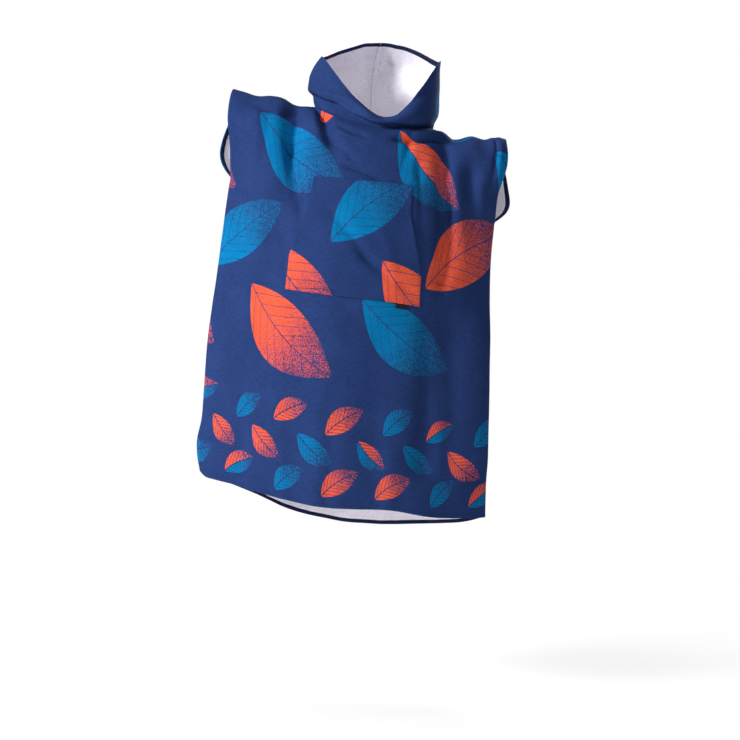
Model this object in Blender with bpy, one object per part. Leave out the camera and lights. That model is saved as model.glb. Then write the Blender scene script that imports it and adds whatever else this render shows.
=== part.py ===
"""Hooded bath poncho, as it hangs when it is worn with both arms raised to the hood.

A front and a back are each cut in one with a short wide sleeve. They are sewn along the shoulders and
down the sides below the armholes. A hood in two halves is sewn round the neck, and a patch pocket with
slanted hand openings lies on the front.

Sizes are metres, +Z is up and the front faces -Y. The origin is the middle of the neck, at the height of
the shoulders, where the garment rests on the wearer. "Left" and "right" are those of somebody who looks
at the front, so that right is +X.

Every cloth surface is worked out from two shares. "across" runs from -1 at the left edge of a panel to 1
at its right edge, and "down" runs from 0 at the shoulder line to 1 at the hem. The cloth is a thin wall
round that surface.
"""

import math

import bmesh
import bpy
import numpy as np

# Cloth and seams.
CLOTH = 0.002
SEAM_GAP = 0.0003
LABEL_CLOTH = 0.001
CLOTH_ROUGHNESS = 0.85

# Colours of the cloth's face.
NAVY = (0.030, 0.060, 0.250)
POCKET_NAVY = (0.034, 0.070, 0.270)
LABEL_BLACK = (0.012, 0.013, 0.018)

# The body of the garment.
LENGTH = 1.0
SHOULDER_ROUNDING = 0.085
SIDE_SQUASH = 0.45
FLAT_RATE = 1.136
FOLD_POWER = 9
SHOULDER_FADE = 0.40

# The armholes: how deep they gape, and how much farther out the back edge stands than the front one.
ARMHOLE_DEPTH = {"front": 0.078, "back": 0.092}
ARMHOLE_REACH = {"left": 0.035, "right": 0.039}
ARMHOLE_SKEW = {"left": 1.8, "right": 2.4}
UNDERARM_HEIGHT = {"left": -0.176, "right": -0.291}

# The neck hole, as shares of the panel's width and as angles round the shoulder.
NECK_CENTRE = 0.035
NECK_HALF_WIDTH = 0.425
NECK_ANGLE = {"front": math.radians(62), "back": math.radians(40)}
NECK_ALLOWANCE = 0.07
NECK_SKEW = 0.15
MIDDLE_FRONT = 0.027

# The patch pocket, in the same shares as the panel it lies on.
POCKET_TOP = 0.232
POCKET_BOTTOM = 0.514
POCKET_OPENING = (0.300, 0.432)
POCKET_HALF_WIDTH = (0.325, 0.434)
POCKET_PUFF = 0.0015

# The small label in the seam under the pocket.
LABEL_CENTRE = 0.30
LABEL_HALF_WIDTH = 0.038
LABEL_DROP = 0.0115

# Fineness of the mesh.
INNER_COLUMNS = 14
OUTER_COLUMNS = 10
YOKE_ROWS = 8
POCKET_ROWS = 7
SKIRT_ROWS = 10
HOOD_ROWS = 12
LABEL_COLUMNS = 3
POCKET_COLUMN = 0.42
NECK_LINES_END = 0.08
STEP = 1e-4
EDGE_ANGLE = math.radians(50)


def table(columns, *rows):
    """Named columns from rows of numbers, sorted by the first column."""
    values = np.array(sorted(rows), dtype=float).T
    return dict(zip(columns.split(), values))


# The left and right edges, by height.
SIDES = {
    "left": table(
        "height x",
        (0.046, -0.354),
        (-0.036, -0.362),
        (-0.097, -0.359),
        (-0.176, -0.362),
        (-0.265, -0.375),
        (-0.413, -0.395),
        (-0.594, -0.421),
        (-0.729, -0.431),
        (-0.791, -0.436),
        (-0.850, -0.448),
        (-0.895, -0.446),
        (-0.925, -0.440),
    ),
    "right": table(
        "height x",
        (-0.082, 0.335),
        (-0.156, 0.335),
        (-0.230, 0.314),
        (-0.291, 0.309),
        (-0.370, 0.301),
        (-0.589, 0.296),
        (-0.796, 0.291),
        (-1.043, 0.285),
    ),
}

# The shoulder line and the two hems, by how far across the width they are.
SHOULDERS = table(
    "width height",
    (-1.00, 0.046),
    (-0.92, 0.038),
    (-0.82, 0.027),
    (-0.72, 0.028),
    (-0.63, 0.021),
    (-0.56, 0.006),
    (-0.43, 0.000),
    (0.00, -0.026),
    (0.50, -0.061),
    (0.62, -0.081),
    (0.76, -0.075),
    (0.85, -0.083),
    (0.92, -0.077),
    (1.00, -0.082),
)
HEMS = {
    "front": table(
        "width height",
        (-1.00, -0.925),
        (-0.955, -0.938),
        (-0.90, -0.943),
        (-0.80, -0.950),
        (-0.69, -0.960),
        (-0.39, -0.986),
        (-0.14, -1.003),
        (0.10, -1.009),
        (0.34, -1.014),
        (0.62, -1.034),
        (0.88, -1.041),
        (1.00, -1.043),
    ),
    "back": table(
        "width height",
        (-1.00, -0.925),
        (-0.88, -0.950),
        (-0.74, -0.974),
        (-0.62, -0.995),
        (-0.44, -1.030),
        (-0.07, -1.066),
        (0.37, -1.077),
        (0.65, -1.070),
        (0.91, -1.056),
        (1.00, -1.043),
    ),
}

# How far the middle of each panel stands from the side seams, and how much each level dips to the right.
DEPTHS = table(
    "down front back",
    (0.00, 0.130, 0.120),
    (0.12, 0.138, 0.132),
    (0.22, 0.148, 0.144),
    (0.38, 0.154, 0.140),
    (0.52, 0.152, 0.136),
    (0.68, 0.142, 0.142),
    (0.84, 0.144, 0.152),
    (1.00, 0.152, 0.162),
)
TILTS = table(
    "down dip",
    (0.00, 0.064),
    (0.05, 0.064),
    (0.22, 0.034),
    (0.50, 0.049),
    (1.00, 0.059),
)

# The largest folds, each along a line from its top to its bottom. Height is outward, so a trough is below 0.
FOLD_COLUMNS = "x_top z_top x_bottom z_bottom half_width height_top height_bottom"
FOLDS = {
    "front": table(
        FOLD_COLUMNS,
        (-0.193, -0.030, -0.203, -0.230, 0.030, -0.040, -0.016),
        (-0.285, -0.080, -0.300, -0.420, 0.045, 0.014, 0.006),
        (-0.240, -0.300, -0.290, -0.620, 0.035, -0.005, -0.008),
        (-0.100, -0.560, -0.130, -1.000, 0.055, 0.004, 0.010),
        (0.020, -0.600, 0.000, -1.000, 0.045, -0.004, -0.009),
        (0.172, -0.120, 0.160, -0.430, 0.030, -0.030, -0.010),
        (0.242, -0.180, 0.255, -0.350, 0.026, -0.020, -0.008),
        (0.118, -0.220, 0.128, -0.360, 0.028, 0.008, 0.004),
        (0.150, -0.560, 0.128, -0.900, 0.036, -0.008, -0.018),
        (0.232, -0.600, 0.226, -0.960, 0.036, 0.006, 0.014),
    ),
    "back": table(
        FOLD_COLUMNS,
        (-0.215, -0.060, -0.190, -0.330, 0.034, -0.030, -0.008),
        (0.205, -0.150, 0.175, -0.400, 0.034, -0.030, -0.008),
        (-0.090, -0.240, -0.110, -0.700, 0.050, 0.006, 0.010),
        (0.060, -0.220, 0.030, -0.660, 0.040, -0.008, -0.010),
        (-0.290, -0.450, -0.330, -0.900, 0.045, -0.006, -0.014),
        (-0.190, -0.620, -0.215, -1.000, 0.045, 0.010, 0.016),
        (-0.050, -0.640, -0.075, -1.050, 0.042, -0.008, -0.016),
        (0.120, -0.560, 0.100, -1.050, 0.048, 0.008, 0.016),
        (0.215, -0.480, 0.200, -0.960, 0.035, -0.008, -0.014),
    ),
}

# The hood's rings above its seam, by the share of the way from the seam to the rim.
HOOD_RINGS = table(
    "up centre half_width front back z_front z_left z_right z_back",
    (0.16, 0.003, 0.151, 0.117, 0.080, -0.058, 0.024, -0.044, -0.024),
    (0.34, 0.001, 0.165, 0.139, 0.128, -0.062, 0.045, -0.018, 0.004),
    (0.54, 0.003, 0.166, 0.146, 0.182, -0.059, 0.072, 0.022, 0.070),
    (0.78, 0.010, 0.160, 0.142, 0.176, -0.053, 0.104, 0.072, 0.150),
    (1.00, 0.021, 0.151, 0.134, 0.082, -0.047, 0.130, 0.118, 0.184),
)
RIM_POWER = 1.4
RIM_FRONT_ROUND = 0.10
ROLL_SAG = 0.012


def eased(columns, name, key):
    """Value of a table's column on a smooth curve through its rows."""
    keys = next(iter(columns.values()))
    values = columns[name]
    slopes = np.gradient(values, keys)
    row = np.clip(np.searchsorted(keys, key) - 1, 0, len(keys) - 2)
    width = keys[row + 1] - keys[row]
    share = (key - keys[row]) / width
    return hermite(values[row], values[row + 1], slopes[row] * width, slopes[row + 1] * width, share)


def hermite(start, end, start_slope, end_slope, share):
    """Cubic between two values with a slope at each."""
    turn = share * share * (3 - 2 * share)
    rise = share * (1 - share) ** 2
    fall = share * share * (share - 1)
    return start + (end - start) * turn + start_slope * rise + end_slope * fall


def smoothstep(share):
    share = np.clip(share, 0, 1)
    return share * share * (3 - 2 * share)


# The body panels.


def section_angle(across):
    """Angle round the flattened section. Equal shares across are nearly equal lengths of cloth."""
    return FLAT_RATE * across + (math.pi / 2 - FLAT_RATE) * across**FOLD_POWER


def shoulder_share():
    """Share of the way down that the rounded shoulder takes."""
    arc = SHOULDER_ROUNDING * math.pi / 2
    return arc / (arc + LENGTH - SHOULDER_ROUNDING)


def shoulder_angle(down):
    """Angle round the shoulder, from 0 on top to a right angle where the cloth falls straight."""
    return np.minimum(down / shoulder_share(), 1) * math.pi / 2


def panel_height(side, width, down):
    """Height of a point, from the shoulder line above it, the hem below it and the tilt of its level."""
    straight = np.maximum(down - shoulder_share(), 0) / (1 - shoulder_share())
    drop = SHOULDER_ROUNDING * (1 - np.cos(shoulder_angle(down))) + straight * (LENGTH - SHOULDER_ROUNDING)
    top_dip, hem_dip = TILTS["dip"][0], TILTS["dip"][-1]
    above = eased(SHOULDERS, "height", width) + top_dip * width
    below = eased(HEMS[side], "height", width) + LENGTH + hem_dip * width
    level = -drop - eased(TILTS, "dip", down) * width
    return level + above * (1 - smoothstep(down / SHOULDER_FADE)) + below * down**2


def armhole_share(edge, height):
    """Share of the way from the top of an armhole to its lower end."""
    top = SHOULDERS["height"][0 if edge == "left" else -1]
    return np.clip((top - height) / (top - UNDERARM_HEIGHT[edge]), 0, 1)


def edge_x(side, edge, down):
    """Where a panel's left or right edge is, with the back of the armhole standing out past the front."""
    height = panel_height(side, -1.0 if edge == "left" else 1.0, down)
    out = -1 if edge == "left" else 1
    reach = 0.0
    if side == "back":
        bulge = np.sin(math.pi * armhole_share(edge, height) ** ARMHOLE_SKEW[edge])
        reach = ARMHOLE_REACH[edge] * bulge
    return eased(SIDES[edge], "x", height) + out * reach


def fold_height(side, x, z):
    """How far the folds move a point outward."""
    folds = FOLDS[side]
    total = np.zeros_like(x)
    for row in zip(*folds.values()):
        x_top, z_top, x_bottom, z_bottom, half_width, height_top, height_bottom = row
        run_x, run_z = x_bottom - x_top, z_bottom - z_top
        along = np.clip(((x - x_top) * run_x + (z - z_top) * run_z) / (run_x**2 + run_z**2), 0, 1)
        away = np.hypot(x - x_top - along * run_x, z - z_top - along * run_z)
        total += (height_top + (height_bottom - height_top) * along) * np.exp(-((away / half_width) ** 2))
    return total


def panel_points(side, across, down):
    """Points in the middle of the front's or the back's cloth."""
    angle = section_angle(across)
    width, bulge = np.sin(angle), np.cos(angle)
    z = panel_height(side, width, down)
    left, right = edge_x(side, "left", down), edge_x(side, "right", down)
    x = left + (right - left) * (1 + width) / 2
    gape = np.where(
        width < 0,
        1 - armhole_share("left", panel_height(side, -1.0, down)) ** 2,
        1 - armhole_share("right", panel_height(side, 1.0, down)) ** 2,
    )
    depth = eased(DEPTHS, side, down) * bulge * (1 - SIDE_SQUASH * width**2)
    depth = depth + ARMHOLE_DEPTH[side] * gape * np.abs(width) ** 3
    depth = depth + fold_height(side, x, z) * bulge
    y = depth * np.sin(shoulder_angle(down)) * (-1 if side == "front" else 1)
    return np.stack([x, y, z], axis=-1)


def neck_down(side, across):
    """Share down at which a panel starts: 0 on the shoulder seam, and lower round the neck hole."""
    offset = np.clip((across - NECK_CENTRE) / NECK_HALF_WIDTH, -1, 1)
    angle = NECK_ANGLE[side] * np.sqrt(1 - offset**2)
    return angle / (math.pi / 2) * shoulder_share()


def neck_offset(side, around):
    """How far across the neck hole a point of its edge is, by its angle round the hole."""
    skew = NECK_SKEW if side == "front" else 0.0
    return np.sin(around) + skew * np.cos(around) ** 2


def column_across(side, column, row):
    """Share across of a mesh column. Its lines run from the neck's corners to the pocket's sides."""
    lower = smoothstep((row - NECK_LINES_END) / (POCKET_TOP - NECK_LINES_END))
    half = np.interp(row, POCKET_OPENING, POCKET_HALF_WIDTH)
    half = NECK_HALF_WIDTH + (half - NECK_HALF_WIDTH) * lower
    centre = NECK_CENTRE * (1 - lower)
    inner = np.clip(column / POCKET_COLUMN, -1, 1)
    even = smoothstep(row / POCKET_TOP)
    spread = neck_offset(side, inner * math.pi / 2) * (1 - even) + inner * even
    outer = np.maximum(np.abs(column) - POCKET_COLUMN, 0) / (1 - POCKET_COLUMN)
    return (centre + half * spread) * (1 - outer) + np.sign(column) * outer


def panel_surface(side):
    """The surface of a panel by mesh column and row, where row 0 is its upper edge and row 1 its hem."""

    def surface(column, row):
        start = neck_down(side, column_across(side, column, np.zeros_like(row)))
        yoke = start + (POCKET_TOP - start) * row / POCKET_TOP
        return panel_points(side, column_across(side, column, row), np.where(row < POCKET_TOP, yoke, row))

    return surface


# The hood.


def neckline(around, scale):
    """Points on the panels' own surface round the neck, at a scale of 1 on the seam and less inside it."""
    edges = []
    for side in ("front", "back"):
        offset = neck_offset(side, around)
        across = NECK_CENTRE + NECK_HALF_WIDTH * scale * offset
        angle = NECK_ANGLE[side] * scale * np.sqrt(np.maximum(1 - offset**2, 0))
        edges.append(panel_points(side, across, angle / (math.pi / 2) * shoulder_share()))
    return np.where((np.cos(around) >= 0)[..., None], *edges)


def rim_climb(sine):
    """Share of its climb that a ring has made, from the middle front, which is rounded, to the side."""
    steep = (sine**2 + RIM_FRONT_ROUND) ** (RIM_POWER / 2)
    least = RIM_FRONT_ROUND ** (RIM_POWER / 2)
    most = (1 + RIM_FRONT_ROUND) ** (RIM_POWER / 2)
    return (steep - least) / (most - least)


def hood_ring(row, around):
    """Points of one ring of the hood. Angle 0 is the middle front and a half turn the middle back."""
    ring = {name: values[row] for name, values in HOOD_RINGS.items()}
    sine, cosine = np.sin(around), np.cos(around)
    x = ring["centre"] + ring["half_width"] * sine
    x = x + (MIDDLE_FRONT - ring["centre"]) * cosine**2 * (cosine > 0)
    y = np.where(cosine > 0, -ring["front"], -ring["back"]) * cosine
    side = np.where(sine < 0, ring["z_left"], ring["z_right"])
    rise = ring["z_front"] + (side - ring["z_front"]) * rim_climb(sine)
    z = np.where(cosine > 0, rise, side + (ring["z_back"] - side) * cosine**2)
    sag = ROLL_SAG * (1 - ring["up"]) * np.clip(np.sin(2 * around), 0, 1) ** 2 * (cosine > 0)
    return np.stack([x, y, z - sag], axis=-1)


def hood_points(around, up):
    """Points in the middle of the hood's cloth, on smooth curves from the neck seam to the rim."""
    rings = [neckline(around, 1.0), neckline(around, 1 - NECK_ALLOWANCE)]
    rings += [hood_ring(row, around) for row in range(len(HOOD_RINGS["up"]))]
    keys = np.array([0.0, NECK_ALLOWANCE, *HOOD_RINGS["up"]])
    rings = np.stack(rings)
    slopes = np.gradient(rings, keys, axis=0)
    slopes[0] = (neckline(around, 1 - STEP) - rings[0]) / STEP
    row = np.clip(np.searchsorted(keys, up) - 1, 0, len(keys) - 2)
    place = np.arange(len(row))
    width = (keys[row + 1] - keys[row])[:, None]
    share = (up - keys[row])[:, None] / width
    return hermite(
        rings[row, place],
        rings[row + 1, place],
        slopes[row, place] * width,
        slopes[row + 1, place] * width,
        share,
    )


# From surfaces to solids.


def cloth_skins(surface, facing, columns, rows, lift, thickness):
    """Grids of points on both skins of a cloth, with each edge half a seam gap back from its seam line."""
    row, column = (grid.ravel() for grid in np.meshgrid(rows, columns, indexing="ij"))
    along = unit(surface(column + STEP, row) - surface(column - STEP, row))
    down = unit(surface(column, row + STEP) - surface(column, row - STEP))
    outward = unit(np.cross(down, along)) * facing
    skew = np.sum(along * down, axis=-1, keepdims=True)
    sideways = np.isclose(column, columns[0]) * 1.0 - np.isclose(column, columns[-1])
    endways = np.isclose(row, rows[0]) * 1.0 - np.isclose(row, rows[-1])
    inward = unit(along - down * skew) * sideways[:, None] + unit(down - along * skew) * endways[:, None]
    middle = surface(column, row) + inward * SEAM_GAP / 2
    lift = np.broadcast_to(lift, column.shape)[:, None]
    return middle + outward * (lift + thickness / 2), middle + outward * (lift - thickness / 2)


def unit(vectors):
    return vectors / np.linalg.norm(vectors, axis=-1, keepdims=True)


def panel_columns():
    """Columns of a panel's mesh, closer together near the side folds."""
    share = np.linspace(0, 1, OUTER_COLUMNS + 1)[1:]
    outer = POCKET_COLUMN + (1 - POCKET_COLUMN) * (share + np.sin(share * math.pi / 2)) / 2
    inner = np.linspace(-POCKET_COLUMN, POCKET_COLUMN, INNER_COLUMNS + 1)
    return np.concatenate([-outer[::-1], inner, outer])


def panel_rows():
    """Rows of a panel's mesh, with one on the pocket's upper edge and one on its lower edge."""
    yoke = np.linspace(0, POCKET_TOP, YOKE_ROWS + 1)
    pocket = np.linspace(POCKET_TOP, POCKET_BOTTOM, POCKET_ROWS + 1)
    skirt = np.linspace(POCKET_BOTTOM, 1, SKIRT_ROWS + 1)
    return np.concatenate([yoke, pocket[1:], skirt[1:]])


def cloth_piece(name, surface, facing, columns, rows, material, lift=0.0, thickness=CLOTH):
    """Closed wall of cloth: a grid for each skin, and a ring of faces that joins their edges."""
    skins = cloth_skins(surface, facing, columns, rows, lift, thickness)
    wall = bmesh.new()
    for points in skins:
        made = bmesh.ops.create_grid(wall, x_segments=len(columns) - 1, y_segments=len(rows) - 1)
        for vertex, point in zip(made["verts"], points):
            vertex.co = point
    wall.verts.ensure_lookup_table()
    numbers = np.arange(len(columns) * len(rows)).reshape(len(rows), len(columns))
    edge = np.concatenate([numbers[0, :-1], numbers[:-1, -1], numbers[-1, :0:-1], numbers[:0:-1, 0]])
    inner = numbers.size
    for here, there in zip(edge, np.roll(edge, -1)):
        corners = (here, there, inner + there, inner + here)
        wall.faces.new([wall.verts[corner] for corner in corners])
    bmesh.ops.recalc_face_normals(wall, faces=wall.faces)
    mesh = bpy.data.meshes.new(name)
    wall.to_mesh(mesh)
    wall.free()
    mesh.shade_smooth()
    mesh.set_sharp_from_angle(angle=EDGE_ANGLE)
    mesh.materials.append(material)
    return bpy.data.objects.new(name, mesh)


def panel(side, facing, material):
    """The front or the back, cut in one with its half of each sleeve."""
    return cloth_piece(side + "_panel", panel_surface(side), facing, panel_columns(), panel_rows(), material)


def hood_half(name, start, material):
    """One half of the hood, between the seams at its middle back and its middle front."""
    columns = np.linspace(start, start + math.pi, INNER_COLUMNS + 1)
    rows = np.linspace(0, 1, HOOD_ROWS + 1)
    return cloth_piece(name, hood_points, -1, columns, rows, material)


def pocket(material):
    """Patch pocket on the front, on the same mesh lines and a seam gap clear of it."""
    columns = np.linspace(-POCKET_COLUMN, POCKET_COLUMN, INNER_COLUMNS + 1)
    rows = np.linspace(POCKET_TOP, POCKET_BOTTOM, POCKET_ROWS + 1)
    puff_across = np.sin(np.linspace(0, math.pi, len(columns)))
    puff_down = np.sin(np.linspace(0, math.pi, len(rows)))
    lift = CLOTH + SEAM_GAP + POCKET_PUFF * np.outer(puff_down, puff_across).ravel()
    return cloth_piece("pocket", panel_surface("front"), 1, columns, rows, material, lift)


def label(material):
    """Small bare label that hangs from the seam under the pocket."""
    columns = np.linspace(LABEL_CENTRE - LABEL_HALF_WIDTH, LABEL_CENTRE + LABEL_HALF_WIDTH, LABEL_COLUMNS + 1)
    rows = np.array([POCKET_BOTTOM, POCKET_BOTTOM + LABEL_DROP / LENGTH])
    lift = CLOTH + SEAM_GAP
    return cloth_piece("label", panel_surface("front"), 1, columns, rows, material, lift, LABEL_CLOTH)


def cloth_material(name, colour):
    """Matt cloth of one colour."""
    material = bpy.data.materials.new(name)
    material.use_nodes = True
    shader = material.node_tree.nodes["Principled BSDF"]
    shader.inputs["Base Color"].default_value = (*colour, 1)
    shader.inputs["Roughness"].default_value = CLOTH_ROUGHNESS
    shader.inputs["Metallic"].default_value = 0
    return material


def main():
    for old in list(bpy.data.objects):
        bpy.data.objects.remove(old)
    collection = bpy.data.collections.new("hooded_bath_poncho")
    bpy.context.scene.collection.children.link(collection)
    hold = bpy.data.objects.new("neck_hold", None)
    collection.objects.link(hold)
    pieces = [
        panel("front", 1, cloth_material("front_cloth", NAVY)),
        panel("back", -1, cloth_material("back_cloth", NAVY)),
        hood_half("hood_left", -math.pi, cloth_material("hood_left_cloth", NAVY)),
        hood_half("hood_right", 0.0, cloth_material("hood_right_cloth", NAVY)),
        pocket(cloth_material("pocket_cloth", POCKET_NAVY)),
        label(cloth_material("label_cloth", LABEL_BLACK)),
    ]
    for piece in pieces:
        piece.parent = hold
        collection.objects.link(piece)


main()
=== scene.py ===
"""Looks of the hooded bath poncho: thin cloth shells on the solids' form, with print, hems and stitching.

Sizes are metres in the row frame. The solids' surfaces are worked out again here, at a finer pitch, from the
same named values. On top of them come finer creases, rounded edges and hems. "Left" and "right" are those of
somebody who looks at the front.
"""

import math

import bmesh
import bpy
import numpy as np
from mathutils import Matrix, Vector, noise


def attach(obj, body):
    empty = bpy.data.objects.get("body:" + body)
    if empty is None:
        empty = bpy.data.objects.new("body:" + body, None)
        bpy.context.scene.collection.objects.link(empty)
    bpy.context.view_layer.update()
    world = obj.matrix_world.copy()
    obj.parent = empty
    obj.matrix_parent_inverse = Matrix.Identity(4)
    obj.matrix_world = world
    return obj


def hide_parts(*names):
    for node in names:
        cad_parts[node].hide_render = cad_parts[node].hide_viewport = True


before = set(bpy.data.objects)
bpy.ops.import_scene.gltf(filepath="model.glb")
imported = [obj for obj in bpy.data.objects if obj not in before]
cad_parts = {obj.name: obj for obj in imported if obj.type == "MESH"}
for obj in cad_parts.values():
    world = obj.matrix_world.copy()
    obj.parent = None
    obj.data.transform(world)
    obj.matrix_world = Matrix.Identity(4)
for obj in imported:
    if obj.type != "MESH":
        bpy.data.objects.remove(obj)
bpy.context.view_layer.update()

# The garment's form, as in its solids.
CLOTH = 0.002
SEAM_GAP = 0.0003
LENGTH = 1.0
SHOULDER_ROUNDING = 0.085
SIDE_SQUASH = 0.45
FLAT_RATE = 1.136
FOLD_POWER = 9
SHOULDER_FADE = 0.40
ARMHOLE_DEPTH = {"front": 0.078, "back": 0.092}
ARMHOLE_REACH = {"left": 0.035, "right": 0.039}
ARMHOLE_SKEW = {"left": 1.8, "right": 2.4}
UNDERARM_HEIGHT = {"left": -0.176, "right": -0.291}
NECK_CENTRE = 0.035
NECK_HALF_WIDTH = 0.425
NECK_ANGLE = {"front": math.radians(62), "back": math.radians(40)}
NECK_ALLOWANCE = 0.07
NECK_SKEW = 0.15
MIDDLE_FRONT = 0.027
POCKET_TOP = 0.232
POCKET_BOTTOM = 0.514
POCKET_OPENING = (0.300, 0.432)
POCKET_HALF_WIDTH = (0.325, 0.434)
POCKET_COLUMN = 0.42
POCKET_PUFF = 0.0015
LABEL_CENTRE = 0.30
LABEL_HALF_WIDTH = 0.038
LABEL_DROP = 0.0115
LABEL_CLOTH = 0.001
LABEL_LIFT = 0.0008
OPENING_LIFT = 0.0035
NECK_LINES_END = 0.08
RIM_POWER = 1.4
RIM_FRONT_ROUND = 0.10
ROLL_SAG = 0.012
STEP = 1e-4
FINE_ROWS = np.linspace(0, 1, 400)
WAYS = {"left": -1.0, "right": 1.0}

# The cut pieces, laid flat: half the width and the length of a panel, and of one half of the hood.
PANEL_HALF_WIDTH = 0.415
PANEL_LENGTH = 1.05
BACK_EXTRA = 0.03
HOOD_ROUND = 0.53
HOOD_HEIGHT = 0.356
HOOD_FRONT_HEIGHT = 0.068
HOOD_SIDE_HEIGHT = 0.174
HOOD_AREA = 0.100

# Hems, seams, stitches and the pitch of the mesh.
BOTTOM_HEM = 0.0095
CUFF_HEM = 0.018
RIM_HEM = 0.0115
HEM_EXTRA = 0.0008
HEM_STEP = 0.002
HEM_LINES = (0.4, 0.75, 1.0)
LIP_LINES = (0.0, 0.0004, 0.0014)
LIP_SHARES = (0.35, 0.85)
PITCH_ACROSS = 0.0036
PITCH_DOWN = 0.0052
ALLOWANCE = 0.0075
ALLOWANCE_CLOTH = 0.0012
SEAM_TAPER = 0.014
NECK_TAPER = 0.009
CREASE_END_RATE = 0.4
STITCH_INSET = 0.001
STITCH_PITCH = 0.0036
STITCH_LENGTH = 0.0029
STITCH_WIDTH = 0.0006
STITCH_SIDES = 4
STITCH_BELLY = 0.22
POCKET_STITCH_INSETS = (0.003, 0.009)
RIM_STITCH_START = 0.01
OVERLOCK_SLANT = 0.9
OVERLOCK_INSET = 0.4 * STITCH_LENGTH

# Soft unevenness. A wave has its rates across and down, a shift of the seed, and its size.
RUMPLE = 0.0013
RUMPLE_WAVES = ((9, 7, 0, 1.0), (24, 19, 5, 0.5))
RUMPLE_SEEDS = {"front": 3.0, "back": 11.0, "hood": 20.0}

# Where a change of relief begins, as a share down an armhole or across the pocket, and how long it takes.
SEWN_START, SEWN_RUN = 0.85, 0.15
GAPE_START, GAPE_RUN = 0.7, 0.3

# How sharply the creases of the hood's front give way to those of its back.
HOOD_SIDE_BLEND = 2

# Camera, floor and lights. A light has its name, place, size and power.
CAMERA_PLACE = (-0.00765, -3.6, -0.668)
CAMERA_LENS = 68.7
FLOOR_HEIGHT = -1.53
FLOOR_RADIUS = 30
FLOOR_FADE = (0.0, 1.8)
AMBIENT = 0.16
LIGHT_TARGET = (0.0, 0.0, -0.5)
LIGHTS = (
    ("key", (-3.2, -2.2, 1.0), 1.0, 205),
    ("fill", (0.7, -3.6, 0.4), 2.0, 15),
    ("top", (0.2, 0.4, 2.8), 1.8, 40),
    ("back", (1.8, 2.8, 1.0), 1.6, 85),
)


def table(columns, *rows):
    """Named columns from rows of numbers, sorted by the first column."""
    return dict(zip(columns.split(), np.array(sorted(rows), dtype=float).T))


def creases(*rows):
    """Soft ridges and troughs along lines, given in whole millimetres and sorted from left to right.

    A row gives x and z of the line's two ends, its half width, its height outward at each end, and how far
    it bows to one side if it does.
    """
    return np.array(sorted(rows)) / 1000


SIDES = {
    "left": table(
        "height x",
        (0.046, -0.354), (-0.036, -0.362), (-0.097, -0.359), (-0.176, -0.362), (-0.265, -0.375),
        (-0.413, -0.395), (-0.594, -0.421), (-0.729, -0.431), (-0.791, -0.436), (-0.850, -0.448),
        (-0.895, -0.446), (-0.925, -0.440),
    ),
    "right": table(
        "height x",
        (-0.082, 0.335), (-0.156, 0.335), (-0.230, 0.314), (-0.291, 0.309), (-0.370, 0.301),
        (-0.589, 0.296), (-0.796, 0.291), (-1.043, 0.285),
    ),
}
SHOULDERS = table(
    "width height",
    (-1.00, 0.046), (-0.92, 0.038), (-0.82, 0.027), (-0.72, 0.028), (-0.63, 0.021), (-0.56, 0.006),
    (-0.43, 0.000), (0.00, -0.026), (0.50, -0.061), (0.62, -0.081), (0.76, -0.075), (0.85, -0.083),
    (0.92, -0.077), (1.00, -0.082),
)
HEMS = {
    "front": table(
        "width height",
        (-1.00, -0.925), (-0.955, -0.938), (-0.90, -0.943), (-0.80, -0.950), (-0.69, -0.960),
        (-0.39, -0.986), (-0.14, -1.003), (0.10, -1.009), (0.34, -1.014), (0.62, -1.034), (0.88, -1.041),
        (1.00, -1.043),
    ),
    "back": table(
        "width height",
        (-1.00, -0.925), (-0.88, -0.950), (-0.74, -0.974), (-0.62, -0.995), (-0.44, -1.030),
        (-0.07, -1.066), (0.37, -1.077), (0.65, -1.070), (0.91, -1.056), (1.00, -1.043),
    ),
}
DEPTHS = table(
    "down front back",
    (0.00, 0.130, 0.120), (0.12, 0.138, 0.132), (0.22, 0.148, 0.144), (0.38, 0.154, 0.140),
    (0.52, 0.152, 0.136), (0.68, 0.142, 0.142), (0.84, 0.144, 0.152), (1.00, 0.152, 0.162),
)
TILTS = table(
    "down dip",
    (0.00, 0.064), (0.05, 0.064), (0.22, 0.034), (0.50, 0.049), (1.00, 0.059),
)

# The solids' own folds, then the finer creases that only the shells have.
FOLDS = {
    "front": creases(
        (-193, -30, -203, -230, 30, -40, -16), (-285, -80, -300, -420, 45, 14, 6),
        (-240, -300, -290, -620, 35, -5, -8), (-100, -560, -130, -1000, 55, 4, 10),
        (20, -600, 0, -1000, 45, -4, -9), (172, -120, 160, -430, 30, -30, -10),
        (242, -180, 255, -350, 26, -20, -8), (118, -220, 128, -360, 28, 8, 4),
        (150, -560, 128, -900, 36, -8, -18), (232, -600, 226, -960, 36, 6, 14),
    ),
    "back": creases(
        (-215, -60, -190, -330, 34, -30, -8), (205, -150, 175, -400, 34, -30, -8),
        (-90, -240, -110, -700, 50, 6, 10), (60, -220, 30, -660, 40, -8, -10),
        (-290, -450, -330, -900, 45, -6, -14), (-190, -620, -215, -1000, 45, 10, 16),
        (-50, -640, -75, -1050, 42, -8, -16), (120, -560, 100, -1050, 48, 8, 16),
        (215, -480, 200, -960, 35, -8, -14),
    ),
}
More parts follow.
